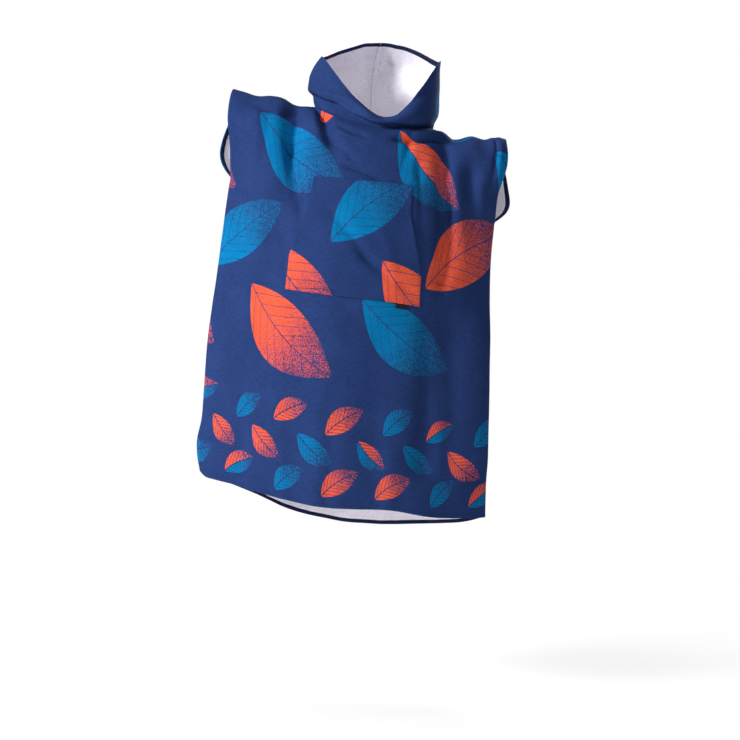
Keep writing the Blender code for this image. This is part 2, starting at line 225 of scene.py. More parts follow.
CREASES = {
    "front": creases(
        # Left shoulder: the sharp valley, the hollow on top and the cuff's soft flutes.
        (-190, -48, -204, -120, 8, -7, -6, 1), (-205, -125, -183, -260, 13, -14, -10, -3),
        (-172, -51, -162, -190, 12, 3, 2, 3), (-272, -18, -212, -36, 11, -10, -9, 0),
        (-292, -30, -299, -190, 14, 3, 2, 4), (-262, -45, -275, -140, 12, -3, -1, 3),
        (-342, -60, -338, -150, 10, -3, -2, 3), (-342, -199, -277, -257, 9, -4, -1, 4),
        # Under the hood.
        (-118, -42, -100, -110, 16, -20, -10, 3), (-127, -58, -117, -95, 10, -10, -8, 1),
        (-100, -108, -52, -152, 10, -7, -3, 4), (-80, -66, -30, -90, 6, -6, -5, -3),
        (-57, -173, 6, -199, 7, -6, -6, 2), (72, -100, 165, -96, 9, -14, -14, -3),
        (74, -83, 165, -80, 10, 8, 8, -3), (90, -110, 76, -160, 10, -7, -2, 2),
        # Round the pocket.
        (-101, -286, -20, -388, 14, -4, -5, 4), (-10, -398, 81, -467, 14, -6, -3, -6),
        (-224, -339, -212, -407, 16, -4, -4, 4), (-172, -457, -96, -474, 5, -4, -4, 4),
        (-184, -504, -69, -516, 7, -2, -2, 8), (20, -330, 50, -450, 16, 2, 3, 6),
        # Right shoulder and cuff.
        (180, -120, 183, -155, 10, -5, -5, 1), (176, -178, 170, -275, 15, -5, -7, 3),
        (185, -280, 175, -430, 16, -16, -12, 4), (114, -181, 118, -300, 12, -7, -4, 3),
        (146, -163, 143, -385, 14, 6, 6, 4), (238, -215, 226, -280, 16, -5, -2, 4),
        (226, -290, 230, -400, 20, 4, 3, 2), (270, -222, 266, -380, 14, 4, 3, 4),
        (308, -91, 308, -136, 5, -6, -5, 0), (304, -144, 289, -217, 5, -5, -2, 2),
        (320, -96, 313, -194, 6, 3, 2, 1), (207, -88, 265, -100, 10, -4, -3, 0),
        (297, -303, 242, -338, 8, -4, -1, 4),
        # Lower half.
        (195, -600, 202, -880, 36, -12, -10, 4), (128, -600, 118, -860, 16, -3, -3, 5),
        (275, -600, 275, -880, 30, 8, 8, 3), (-360, -218, -388, -493, 20, 5, 5, 6),
        (-395, -599, -318, -653, 9, -3, -4, 4), (-329, -752, -339, -940, 20, -3, -6, 6),
        (-241, -743, -226, -950, 22, 3, 5, 8), (-106, -772, -115, -987, 22, -2, -6, 6),
        (29, -772, 36, -987, 22, 2, 6, 6),
    ),
    "back": creases(
        # Shoulders.
        (-236, 4, -222, -18, 18, 6, 2, 0), (-214, -40, -208, -110, 9, -9, -6, 2),
        (-206, -126, -190, -270, 12, -7, -2, 5), (-290, -30, -296, -150, 10, -5, -2, 4),
        (-262, -40, -256, -200, 13, 4, 1, 4), (-346, -20, -350, -120, 8, -4, -2, 2),
        (204, -120, 196, -190, 9, -9, -6, 2), (192, -206, 174, -350, 12, -7, -2, 5),
        (262, -120, 256, -280, 12, 4, 1, 4), (292, -110, 286, -240, 8, -5, -2, 2),
        # Drag lines from the neck and the underarms.
        (-100, -60, -50, -170, 13, -5, -2, 6), (110, -100, 70, -210, 13, -5, -2, 6),
        (-150, -110, -40, -290, 16, -3, -4, 14), (140, -170, 50, -310, 16, -3, -4, 14),
        (-345, -200, -255, -300, 10, -6, -2, 6), (-348, -240, -290, -370, 9, -4, -1, 5),
        (298, -310, 215, -390, 10, -6, -2, 6), (294, -350, 245, -460, 9, -4, -1, 5),
        # Long soft flutes.
        (-20, -300, -10, -560, 20, 3, 4, 8), (-150, -380, -165, -640, 18, -4, -3, 6),
        (110, -400, 118, -600, 15, -4, -2, 5), (-340, -560, -290, -700, 12, -3, -3, 8),
        (240, -560, 190, -680, 12, -3, -3, 8), (-320, -700, -338, -920, 14, 3, 5, 6),
        (-250, -720, -262, -970, 16, -4, -7, 6), (-120, -700, -128, -1000, 15, 2, 4, 6),
        (40, -700, 20, -1030, 18, -4, -7, 8), (160, -760, 165, -1040, 16, -3, -6, 6),
        (250, -740, 246, -1000, 12, 2, 4, 4),
    ),
}
HOOD_CREASES = {
    "front": creases(
        # The deep crease below the rim, with the roll and the small creases under it.
        (-100, -6, -16, -54, 7, -3, -3, 9), (-100, 12, -14, -42, 9, 7, 6, 9),
        (-149, -16, -27, -70, 8, 3, 3, 4), (-160, 24, -130, 2, 15, 9, 4, 0),
        (-52, -71, -3, -70, 4, -2, -3, -2), (-120, -30, -75, -52, 5, -3, -2, 2),
        (67, -69, 150, -70, 5, -3, -3, -3), (60, -54, 140, -50, 7, 2, 2, -2),
        (60, -32, 128, 14, 11, -7, -4, 4), (-119, 34, -81, 6, 12, -6, -4, 2),
        (-140, 70, -128, 22, 10, 3, 2, 2),
    ),
    "back": creases(
        # Drag lines from the two pulled corners, and folds where the hood turns over the neck seam.
        (-140, 90, -50, 20, 14, -5, -2, 10), (-150, 50, -90, -10, 10, -4, -2, 5),
        (150, 80, 80, 20, 14, -5, -2, 10), (160, 20, 110, -30, 10, -4, -2, 5),
        (-110, -4, -10, -10, 9, -4, -3, -6), (20, -14, 120, -34, 9, -4, -3, -6),
        (-20, 160, -30, 70, 16, 3, 2, 6), (60, 150, 56, 60, 14, -3, -2, 6),
    ),
}
HOOD_RINGS = table(
    "up centre half_width front back z_front z_left z_right z_back",
    (0.16, 0.003, 0.151, 0.117, 0.080, -0.058, 0.024, -0.044, -0.024),
    (0.34, 0.001, 0.165, 0.139, 0.128, -0.062, 0.045, -0.018, 0.004),
    (0.54, 0.003, 0.166, 0.146, 0.182, -0.059, 0.072, 0.022, 0.070),
    (0.78, 0.010, 0.160, 0.142, 0.176, -0.053, 0.104, 0.072, 0.150),
    (1.00, 0.021, 0.151, 0.134, 0.082, -0.047, 0.130, 0.118, 0.184),
)


def eased(columns, name, key):
    """Value of a table's column on a smooth curve through its rows."""
    keys = next(iter(columns.values()))
    values = columns[name]
    slopes = np.gradient(values, keys)
    row = np.clip(np.searchsorted(keys, key) - 1, 0, len(keys) - 2)
    width = keys[row + 1] - keys[row]
    share = (key - keys[row]) / width
    return hermite(values[row], values[row + 1], slopes[row] * width, slopes[row + 1] * width, share)


def hermite(start, end, start_slope, end_slope, share):
    """Cubic between two values with a slope at each."""
    turn = share * share * (3 - 2 * share)
    rise = share * (1 - share) ** 2
    fall = share * share * (share - 1)
    return start + (end - start) * turn + start_slope * rise + end_slope * fall


def smoothstep(share):
    share = np.clip(share, 0, 1)
    return share * share * (3 - 2 * share)


def share_between(value, start, end):
    """Share of the way from start to end, from 0 to 1."""
    return np.clip((value - start) / (end - start), 0, 1)


def unit(vectors):
    return vectors / np.linalg.norm(vectors, axis=-1, keepdims=True)


# The body panels.


def section_angle(across):
    """Angle round the flattened section. Equal shares across are nearly equal lengths of cloth."""
    return FLAT_RATE * across + (math.pi / 2 - FLAT_RATE) * across**FOLD_POWER


def shoulder_share():
    """Share of the way down that the rounded shoulder takes."""
    arc = SHOULDER_ROUNDING * math.pi / 2
    return arc / (arc + LENGTH - SHOULDER_ROUNDING)


def shoulder_angle(down):
    """Angle round the shoulder, from 0 on top to a right angle where the cloth falls straight."""
    return np.minimum(down / shoulder_share(), 1) * math.pi / 2


def panel_height(side, width, down):
    """Height of a point, from the shoulder line above it, the hem below it and the tilt of its level."""
    straight = np.maximum(down - shoulder_share(), 0) / (1 - shoulder_share())
    drop = SHOULDER_ROUNDING * (1 - np.cos(shoulder_angle(down))) + straight * (LENGTH - SHOULDER_ROUNDING)
    top_dip, hem_dip = TILTS["dip"][0], TILTS["dip"][-1]
    above = eased(SHOULDERS, "height", width) + top_dip * width
    below = eased(HEMS[side], "height", width) + LENGTH + hem_dip * width
    level = -drop - eased(TILTS, "dip", down) * width
    return level + above * (1 - smoothstep(down / SHOULDER_FADE)) + below * down**2


def armhole_share(edge, height):
    """Share of the way from the top of an armhole to its lower end."""
    top = SHOULDERS["height"][0 if edge == "left" else -1]
    return share_between(height, top, UNDERARM_HEIGHT[edge])


def nearer_armhole(side, across, down):
    """Share of the way down the armhole on a place's own side of the panel: 1 where that side is sewn up."""
    left, right = (armhole_share(edge, panel_height(side, way, down)) for edge, way in WAYS.items())
    return np.where(across < 0, left, right)


def edge_x(side, edge, down):
    """Where a panel's left or right edge is, with the back of the armhole standing out past the front."""
    height = panel_height(side, WAYS[edge], down)
    reach = 0.0
    if side == "back":
        reach = ARMHOLE_REACH[edge] * np.sin(math.pi * armhole_share(edge, height) ** ARMHOLE_SKEW[edge])
    return eased(SIDES[edge], "x", height) + WAYS[edge] * reach


def crease_height(lines, p, q, end_rate=1.0):
    """How far creases move a point outward. Below 1, end_rate lets them die away slowly past their ends."""
    total = np.zeros_like(p)
    for p_start, q_start, p_end, q_end, half_width, height_start, height_end, *bow in lines:
        run_p, run_q = p_end - p_start, q_end - q_start
        length = math.hypot(run_p, run_q)
        share = ((p - p_start) * run_p + (q - q_start) * run_q) / length**2
        along = np.clip(share, 0, 1)
        reached = along + (share - along) * (1 - end_rate)
        aside = sum(bow) * np.sin(math.pi * along) / length
        away_p = p - p_start - reached * run_p + aside * run_q
        away_q = q - q_start - reached * run_q - aside * run_p
        height = height_start + (height_end - height_start) * along
        total += height * np.exp(-(away_p**2 + away_q**2) / half_width**2)
    return total


def panel_points(side, across, down):
    """Points in the middle of the front's or the back's cloth."""
    angle = section_angle(across)
    width, bulge = np.sin(angle), np.cos(angle)
    z = panel_height(side, width, down)
    left, right = edge_x(side, "left", down), edge_x(side, "right", down)
    x = left + (right - left) * (1 + width) / 2
    gape = 1 - nearer_armhole(side, width, down) ** 2
    depth = eased(DEPTHS, side, down) * bulge * (1 - SIDE_SQUASH * width**2)
    depth = depth + ARMHOLE_DEPTH[side] * gape * np.abs(width) ** 3
    depth = depth + crease_height(FOLDS[side], x, z) * bulge
    y = depth * np.sin(shoulder_angle(down)) * (-1 if side == "front" else 1)
    return np.stack([x, y, z], axis=-1)


def neck_down(side, across):
    """Share down at which a panel starts: 0 on the shoulder seam, and lower round the neck hole."""
    offset = np.clip((across - NECK_CENTRE) / NECK_HALF_WIDTH, -1, 1)
    angle = NECK_ANGLE[side] * np.sqrt(1 - offset**2)
    return angle / (math.pi / 2) * shoulder_share()


def neck_offset(side, around):
    """How far across the neck hole a point of its edge is, by its angle round the hole."""
    skew = NECK_SKEW if side == "front" else 0.0
    return np.sin(around) + skew * np.cos(around) ** 2


def column_across(side, column, row):
    """Share across of a mesh column. Its lines run from the neck's corners to the pocket's sides."""
    lower = smoothstep(share_between(row, NECK_LINES_END, POCKET_TOP))
    half = np.interp(row, POCKET_OPENING, POCKET_HALF_WIDTH)
    half = NECK_HALF_WIDTH + (half - NECK_HALF_WIDTH) * lower
    centre = NECK_CENTRE * (1 - lower)
    inner = np.clip(column / POCKET_COLUMN, -1, 1)
    even = smoothstep(row / POCKET_TOP)
    spread = neck_offset(side, inner * math.pi / 2) * (1 - even) + inner * even
    outer = np.maximum(np.abs(column) - POCKET_COLUMN, 0) / (1 - POCKET_COLUMN)
    return (centre + half * spread) * (1 - outer) + np.sign(column) * outer


def row_down(side, column, row):
    """Share down of a mesh row, which starts at the shoulder seam or the neck hole."""
    start = neck_down(side, column_across(side, column, np.zeros_like(row)))
    yoke = start + (POCKET_TOP - start) * row / POCKET_TOP
    return np.where(row < POCKET_TOP, yoke, row)


# The hood.


def neckline(around, scale):
    """Points on the panels' own surface round the neck, at a scale of 1 on the seam and less inside it."""
    edges = []
    for side in ("front", "back"):
        offset = neck_offset(side, around)
        across = NECK_CENTRE + NECK_HALF_WIDTH * scale * offset
        angle = NECK_ANGLE[side] * scale * np.sqrt(np.maximum(1 - offset**2, 0))
        edges.append(panel_points(side, across, angle / (math.pi / 2) * shoulder_share()))
    return np.where((np.cos(around) >= 0)[..., None], *edges)


def rim_climb(sine):
    """Share of its climb that a ring has made, from the middle front, which is rounded, to the side."""
    steep = (sine**2 + RIM_FRONT_ROUND) ** (RIM_POWER / 2)
    least = RIM_FRONT_ROUND ** (RIM_POWER / 2)
    most = (1 + RIM_FRONT_ROUND) ** (RIM_POWER / 2)
    return (steep - least) / (most - least)


def hood_ring(row, around):
    """Points of one ring of the hood. Angle 0 is the middle front and a half turn the middle back."""
    ring = {name: values[row] for name, values in HOOD_RINGS.items()}
    sine, cosine = np.sin(around), np.cos(around)
    x = ring["centre"] + ring["half_width"] * sine
    x = x + (MIDDLE_FRONT - ring["centre"]) * cosine**2 * (cosine > 0)
    y = np.where(cosine > 0, -ring["front"], -ring["back"]) * cosine
    side = np.where(sine < 0, ring["z_left"], ring["z_right"])
    rise = ring["z_front"] + (side - ring["z_front"]) * rim_climb(sine)
    z = np.where(cosine > 0, rise, side + (ring["z_back"] - side) * cosine**2)
    sag = ROLL_SAG * (1 - ring["up"]) * np.clip(np.sin(2 * around), 0, 1) ** 2 * (cosine > 0)
    return np.stack([x, y, z - sag], axis=-1)


def hood_points(around, up):
    """Points in the middle of the hood's cloth, on smooth curves from the neck seam to the rim."""
    rings = [neckline(around, 1.0), neckline(around, 1 - NECK_ALLOWANCE)]
    rings += [hood_ring(row, around) for row in range(len(HOOD_RINGS["up"]))]
    keys = np.array([0.0, NECK_ALLOWANCE, *HOOD_RINGS["up"]])
    rings = np.stack(rings)
    slopes = np.gradient(rings, keys, axis=0)
    slopes[0] = (neckline(around, 1 - STEP) - rings[0]) / STEP
    row = np.clip(np.searchsorted(keys, up) - 1, 0, len(keys) - 2)
    low, high = (row, np.arange(len(row))), (row + 1, np.arange(len(row)))
    width = (keys[row + 1] - keys[row])[:, None]
    share = (up - keys[row])[:, None] / width
    return hermite(rings[low], rings[high], slopes[low] * width, slopes[high] * width, share)


# Creased cloth. Each kind gives its points, its place on the flat cut, its relief and its depth in a hem.


class Panel:
    """The front or the back."""

    def __init__(self, side, print_shift):
        self.side = side
        self.facing = 1 if side == "front" else -1
        self.print_shift = print_shift
        self.leaves = body_leaves()

    def shares(self, column, row):
        """Shares across and down of a place on the mesh."""
        return column_across(self.side, column, row), row_down(self.side, column, row)

    def points(self, column, row):
        return panel_points(self.side, *self.shares(column, row))

    def cut(self, column, row):
        """Place on the flat cut: across from its middle, and down from the shoulder line."""
        across, down = self.shares(column, row)
        return PANEL_HALF_WIDTH * across, PANEL_LENGTH * down

    def armhole(self, column, row):
        """Share of the way down the nearer armhole: 1 where the side is sewn up."""
        return nearer_armhole(self.side, column, row_down(self.side, column, row))

    def relief(self, points, column, row):
        """Height of the finer creases, which die away at the seams."""
        u, v = self.cut(column, row)
        height = crease_height(CREASES[self.side], points[:, 0], points[:, 2], CREASE_END_RATE)
        height += rumple(u, v, RUMPLE_SEEDS[self.side])
        sewn = smoothstep((self.armhole(column, row) - SEWN_START) / SEWN_RUN)
        from_side = smoothstep((1 - np.abs(column)) * PANEL_HALF_WIDTH / SEAM_TAPER)
        return height * smoothstep(row * PANEL_LENGTH / NECK_TAPER) * (1 - sewn * (1 - from_side))

    def hem_depth(self, column, row):
        """How far a place lies inside the lower hem or a cuff's, measured from the hem's inner end."""
        to_side = (1 - np.abs(column)) * PANEL_HALF_WIDTH
        cuff = np.where(self.armhole(column, row) < 1, CUFF_HEM - to_side, -1.0)
        return np.maximum(cuff, BOTTOM_HEM - (1 - row) * PANEL_LENGTH)


class Hood:
    """The hood, as one surface round the neck. A column is an angle round it, from the middle front."""

    facing = -1
    print_shift = (0.0, 0.0)

    def __init__(self):
        self.leaves = hood_leaves()

    def points(self, around, row):
        return hood_points(around, self.up(around, row))

    def height(self, around):
        """Real height of the cut from the neck edge to the rim."""
        end = np.where(np.cos(around) > 0, HOOD_FRONT_HEIGHT, HOOD_HEIGHT)
        return HOOD_SIDE_HEIGHT + (end - HOOD_SIDE_HEIGHT) * np.cos(around) ** 2

    def up(self, around, row):
        """Share of the way up of a mesh row. The lines by the two edges keep their real distances to them."""
        edge = RIM_HEM + HEM_STEP
        edge_row = edge / HOOD_HEIGHT
        share = edge / self.height(around)
        low = np.minimum(row / edge_row, 1) * share
        high = (1 - np.minimum((1 - row) / edge_row, 1)) * share
        return low + np.clip((row - edge_row) / (1 - 2 * edge_row), 0, 1) * (1 - 2 * share) + high

    def cut(self, around, row):
        return around / math.pi * HOOD_ROUND, self.up(around, row) * self.height(around)

    def relief(self, points, around, row):
        u, v = self.cut(around, row)
        in_front = smoothstep(0.5 + np.cos(around) * HOOD_SIDE_BLEND)
        x, z = points[:, 0], points[:, 2]
        height = crease_height(HOOD_CREASES["front"], x, z, CREASE_END_RATE) * in_front
        height += crease_height(HOOD_CREASES["back"], x, z, CREASE_END_RATE) * (1 - in_front)
        height += rumple(u, v, RUMPLE_SEEDS["hood"])
        from_seam = smoothstep((math.pi - np.abs(around)) / math.pi * HOOD_ROUND / SEAM_TAPER)
        return height * smoothstep(v / SEAM_TAPER) * from_seam

    def hem_depth(self, around, row):
        return RIM_HEM - (1 - self.up(around, row)) * self.height(around)


class Pocket(Panel):
    """The patch pocket, which follows the front and is turned under on all its edges."""

    def relief(self, points, column, row):
        """The front's relief, with the pocket's own cloth puffed on top and its hand openings lifted."""
        across = np.clip(column / POCKET_COLUMN, -1, 1)
        down = share_between(row, POCKET_TOP, POCKET_BOTTOM)
        puff = POCKET_PUFF * np.cos(across * math.pi / 2) * np.sin(down * math.pi)
        along = share_between(row, *POCKET_OPENING)
        at_side = smoothstep((np.abs(across) - GAPE_START) / GAPE_RUN)
        gape = OPENING_LIFT * np.sin(along * math.pi) ** 2 * at_side
        return super().relief(points, column, row) + CLOTH + SEAM_GAP + HEM_EXTRA / 2 + puff + gape

    def hem_depth(self, column, row):
        half = PANEL_HALF_WIDTH * np.interp(row, POCKET_OPENING, POCKET_HALF_WIDTH)
        to_side = (1 - np.abs(column) / POCKET_COLUMN) * half
        to_end = np.minimum(row - POCKET_TOP, POCKET_BOTTOM - row) * PANEL_LENGTH
        return RIM_HEM - np.minimum(to_side, to_end)


class Label(Panel):
    """The bare ribbon under the pocket, whose free end stands off a little."""

    def relief(self, points, column, row):
        free = np.clip((row - POCKET_BOTTOM) * LENGTH / LABEL_DROP, 0, 1)
        return super().relief(points, column, row) + CLOTH + SEAM_GAP + LABEL_LIFT * free

    def hem_depth(self, column, row):
        return np.full(len(column), -1.0)


class Allowance:
    """The turned edges of a seam, pressed open inside the two cloths that it joins.

    A column is the share along the seam, and a row the distance to one side of it. joined gives the points.
    """

    print_shift = (0.0, 0.0)
    leaves = ()

    def __init__(self, facing, length, joined):
        self.facing = facing
        self.length = length
        self.points = joined

    def cut(self, along, aside):
        return along * self.length, aside

    def relief(self, points, along, aside):
        return np.full(len(points), -(CLOTH + ALLOWANCE_CLOTH) / 2 - SEAM_GAP)

    def hem_depth(self, along, aside):
        return np.full(len(along), -1.0)


def creased(cloth, column, row):
    """Points in the middle of a cloth, with its relief."""
    plain, _, _, outward = frame_at(cloth, column, row)
    return plain + outward * cloth.relief(plain, column, row)[:, None]


def rumple(u, v, seed):
    """Soft unevenness of handled cloth, broad and then fine."""
    heights = [
        sum(size * noise.noise(Vector((a * p, b * q, seed + shift))) for p, q, shift, size in RUMPLE_WAVES)
        for a, b in zip(u, v)
    ]
    return RUMPLE * np.array(heights)


# From surfaces to shells.


def edge_lines(hem):
    """Distances of the mesh lines along an edge: close together at its lip and where its hem ends."""
    inner = (*(share * hem for share in HEM_LINES), hem + HEM_STEP) if hem else ()
    return np.array([*LIP_LINES, *inner])


def mesh_lines(start, end, length, pitch, first_hem=0.0, last_hem=0.0):
    """Places of the mesh lines from start to end, one pitch apart, and closer at the edges."""
    first, last = edge_lines(first_hem), edge_lines(last_hem)
    count = max(2, round((length - first[-1] - last[-1]) / pitch))
    middle = np.linspace(first[-1], length - last[-1], count + 1)
    places = np.concatenate([first[:-1], middle, (length - last[:-1])[::-1]])
    return start + (end - start) * places / length


def frame_at(cloth, column, row):
    """Points of the plain surface, with the directions along it, down it and out of it."""
    along = unit(cloth.points(column + STEP, row) - cloth.points(column - STEP, row))
    down = unit(cloth.points(column, row + STEP) - cloth.points(column, row - STEP))
    outward = unit(np.cross(down, along)) * cloth.facing
    return cloth.points(column, row), along, down, outward


def seam_inset(column, row, columns, rows, along, down):
    """Half a seam gap inward on the cloth's edges."""
    skew = np.sum(along * down, axis=-1, keepdims=True)
    sideways = np.isclose(column, columns[0]) * 1.0 - np.isclose(column, columns[-1])
    endways = np.isclose(row, rows[0]) * 1.0 - np.isclose(row, rows[-1])
    inward = unit(along - down * skew) * sideways[:, None] + unit(down - along * skew) * endways[:, None]
    return inward * SEAM_GAP / 2


def grid_normals(points, facing):
    """Outward normals of a grid of points."""
    down, across = np.gradient(points, axis=(0, 1))
    return unit(np.cross(down, across)) * facing


def rounded_edge(shape):
    """Share of the full thickness near the border of a grid, so that a cut edge shows as a soft fold."""
    share = np.ones(shape)
    for line, most in enumerate(LIP_SHARES):
        for border in (share[line], share[-1 - line], share[:, line], share[:, -1 - line]):
            border[:] = np.minimum(border, most)
    return share.ravel()


def shell(name, cloth, columns, rows, materials, thickness=CLOTH):
    """Thin cloth with a face, a reverse and rounded edges. materials are the face's, reverse's and hem's."""
    row, column = (grid.ravel() for grid in np.meshgrid(rows, columns, indexing="ij"))
    plain, along, down, outward = frame_at(cloth, column, row)
    height = cloth.relief(plain, column, row)
    middle = plain + outward * height[:, None] + seam_inset(column, row, columns, rows, along, down)
    shape = (len(rows), len(columns))
    normals = grid_normals(middle.reshape(*shape, 3), cloth.facing).reshape(-1, 3)
    in_hem = cloth.hem_depth(column, row)
    half = (thickness + HEM_EXTRA * smoothstep(in_hem / HEM_STEP)) / 2 * rounded_edge(shape)
    skins = np.concatenate([middle + normals * half[:, None], middle - normals * half[:, None]])
    piece = grid_solid(name, shape, skins)
    mark_faces(piece.data, shape, in_hem.reshape(shape))
    add_cut_map(piece.data, cloth, column, row)
    for material in materials:
        piece.data.materials.append(material)
    return piece


def placed(name, data):
    """A new object in the scene."""
    made = bpy.data.objects.new(name, data)
    bpy.context.scene.collection.objects.link(made)
    return made


def grid_solid(name, shape, skins):
    """Closed wall: a grid for each skin, and a ring of faces that joins their edges."""
    rows, columns = shape
    wall = bmesh.new()
    for _ in range(2):
        bmesh.ops.create_grid(wall, x_segments=columns - 1, y_segments=rows - 1)
    wall.verts.ensure_lookup_table()
    for vertex, point in zip(wall.verts, skins):
        vertex.co = point
    numbers = np.arange(rows * columns).reshape(shape)
    edge = np.concatenate([numbers[0, :-1], numbers[:-1, -1], numbers[-1, :0:-1], numbers[:0:-1, 0]])
    for here, there in zip(edge, np.roll(edge, -1)):
        corners = (here, there, numbers.size + there, numbers.size + here)
        wall.faces.new([wall.verts[corner] for corner in corners])
    bmesh.ops.recalc_face_normals(wall, faces=wall.faces)
    mesh = bpy.data.meshes.new(name)
    wall.to_mesh(mesh)
    wall.free()
    mesh.shade_smooth()
    return placed(name, mesh)


def mark_faces(mesh, shape, in_hem):
    """Gives the reverse and the turned hem on it their own material slots, 1 and 2. Slot 2 is navy cloth
    painted darker with shade.
    """
    rows, columns = shape
    corners = np.empty(len(mesh.polygons) * 4, dtype=np.int32)
    mesh.polygons.foreach_get("vertices", corners)
    lowest = corners.reshape(-1, 4).min(axis=1)
    reverse = lowest >= rows * columns
    place = lowest % (rows * columns)
    row = np.minimum(place // columns, rows - 2)
    column = np.minimum(place % columns, columns - 2)
    turned = np.minimum(in_hem[row, column], in_hem[row + 1, column + 1]) > -STEP
    mesh.polygons.foreach_set("material_index", np.where(reverse, 1 + turned, 0).astype(np.int32))


def add_cut_map(mesh, cloth, column, row):
    """UV map of the flat cut, in metres, and the printed leaves' marks, both the same on the two skins."""
    u, v = (np.tile(part + shift, 2) for part, shift in zip(cloth.cut(column, row), cloth.print_shift))
    loops = np.empty(len(mesh.loops), dtype=np.int32)
    mesh.loops.foreach_get("vertex_index", loops)
    layer = mesh.uv_layers.new(name="cut")
    layer.data.foreach_set("uv", np.stack([u[loops], v[loops]], axis=1).ravel().astype(np.float32))
    marks = zip(("leaf_edge", "leaf_place", "leaf_tones"), leaf_marks(u, v, cloth.leaves))
    for name, values in marks:
        kind, field = ("FLOAT", "value") if values.ndim == 1 else ("FLOAT_VECTOR", "vector")
        attribute = mesh.attributes.new(name, kind, "POINT")
        attribute.data.foreach_set(field, values.ravel().astype(np.float32))


# The print: plain leaves in a half-drop, large on the body and small above the hem, and a few on the hood.

LEAF_KINDS = (
    {"length": 0.300, "width": 0.146, "across": 0.335, "down": 0.218, "first": -0.030, "rows": 4},
    {"length": 0.108, "width": 0.053, "across": 0.134, "down": 0.078, "first": 0.838, "rows": 3},
)
LEAF_TURN = math.radians(36)
LEAF_BEND = 0.14
LEAF_SWAY, LEAF_DROP, LEAF_TWIST, LEAF_GROWTH = 0.05, 0.04, 0.12, 0.07
UNEVEN_RATES = ((2.3, 1.7), (3.1, 1.0), (1.9, 2.7))
PRINT_HALF_WIDTH = 0.9
PRINT_SHIFTS = {"front": (0.0, 0.0), "back": (0.15, 0.0), "pocket": (-0.36, 0.095)}
MARK_REACH = 0.02
CORAL_TONE, TEAL_TONE = 0.0, 1.0
TONE_PAIRS = (
    (CORAL_TONE, CORAL_TONE), (TEAL_TONE, TEAL_TONE), (CORAL_TONE, TEAL_TONE),
    (TEAL_TONE, TEAL_TONE), (CORAL_TONE, CORAL_TONE),
)
HOOD_LEAVES = table(
    "across up turn length width bend upper lower",
    (-0.520, 0.090, -32.0, 0.170, 0.072, 0.12, TEAL_TONE, TEAL_TONE),
    (-0.360, 0.200, 48.0, 0.230, 0.098, -0.14, TEAL_TONE, CORAL_TONE),
    (0.235, 0.080, 62.0, 0.150, 0.064, 0.12, TEAL_TONE, TEAL_TONE),
    (0.420, 0.190, -40.0, 0.230, 0.098, 0.14, CORAL_TONE, CORAL_TONE),
)


def body_leaves():
    """Each leaf as its place, turn, half length, half width, bend and the tones of its two halves."""
    made = []
    for kind in LEAF_KINDS:
        length = kind["length"]
        reach = math.ceil(PRINT_HALF_WIDTH / kind["across"])
        for line in range(kind["rows"]):
            way = 1 if line % 2 else -1
            for number in range(-reach, reach + 1):
                sway, drop, growth = (rate * number + shift * line for rate, shift in UNEVEN_RATES)
                sway = math.sin(sway)
                u = (number + 0.5 * (line % 2)) * kind["across"] + LEAF_SWAY * length * sway
                v = kind["first"] + line * kind["down"] + LEAF_DROP * length * math.cos(drop)
                size = 1 + LEAF_GROWTH * math.cos(growth)
                shape = (length / 2 * size, kind["width"] / 2 * size, way * LEAF_BEND)
                tones = TONE_PAIRS[(number + 2 * line) % len(TONE_PAIRS)]
                made.append((u, v, way * (LEAF_TURN + LEAF_TWIST * sway), *shape, *tones))
    return made


def hood_leaves():
    """The hood's leaves, which leave its front plain."""
    return [
        (u, v, math.radians(turn), length / 2, width / 2, bend, upper, lower)
        for u, v, turn, length, width, bend, upper, lower in zip(*HOOD_LEAVES.values())
    ]


def leaf_marks(u, v, leaves):
    """For each point: the distance inside the nearest leaf's edge, the place in that leaf, and its tones."""
    edge = np.full(len(u), -1.0)
    place, tones = np.zeros((2, len(u), 3))
    for leaf_u, leaf_v, turn, half_length, half_width, bend, upper, lower in leaves:
        along = ((u - leaf_u) * math.cos(turn) + (v - leaf_v) * math.sin(turn)) / half_length
        aside = -(u - leaf_u) * math.sin(turn) + (v - leaf_v) * math.cos(turn)
        aside = aside - bend * half_length * (1 - along**2)
        slope = 2 * half_width * along / half_length
        inside = (half_width * (1 - along**2) - np.abs(aside)) / np.sqrt(1 + slope**2)
        nearest = inside > edge
        edge = np.where(nearest, inside, edge)
        place[nearest] = np.stack([along, aside, np.full_like(u, half_length)], axis=1)[nearest]
        tones[nearest] = (upper, lower, half_width)
    return np.clip(edge, -MARK_REACH, MARK_REACH), place, tones


# Materials.

NAVY = (0.017, 0.038, 0.136)
CORAL = (0.700, 0.095, 0.046)
TEAL = (0.001, 0.150, 0.360)
# Turned hems and seam strips: the navy cloth painted darker, as painted shade inside the garment.
HEM_NAVY_PAINTED_SHADE = (0.012, 0.018, 0.060)
REVERSE_LILAC = (0.900, 0.870, 0.950)
THREAD_NAVY = (0.022, 0.040, 0.140)
THREAD_LILAC = (0.560, 0.530, 0.640)
LABEL_BLACK = (0.012, 0.013, 0.018)
SHEEN_TINT = (0.70, 0.78, 1.0)
FLOOR_WHITE = (0.94, 0.94, 0.94)

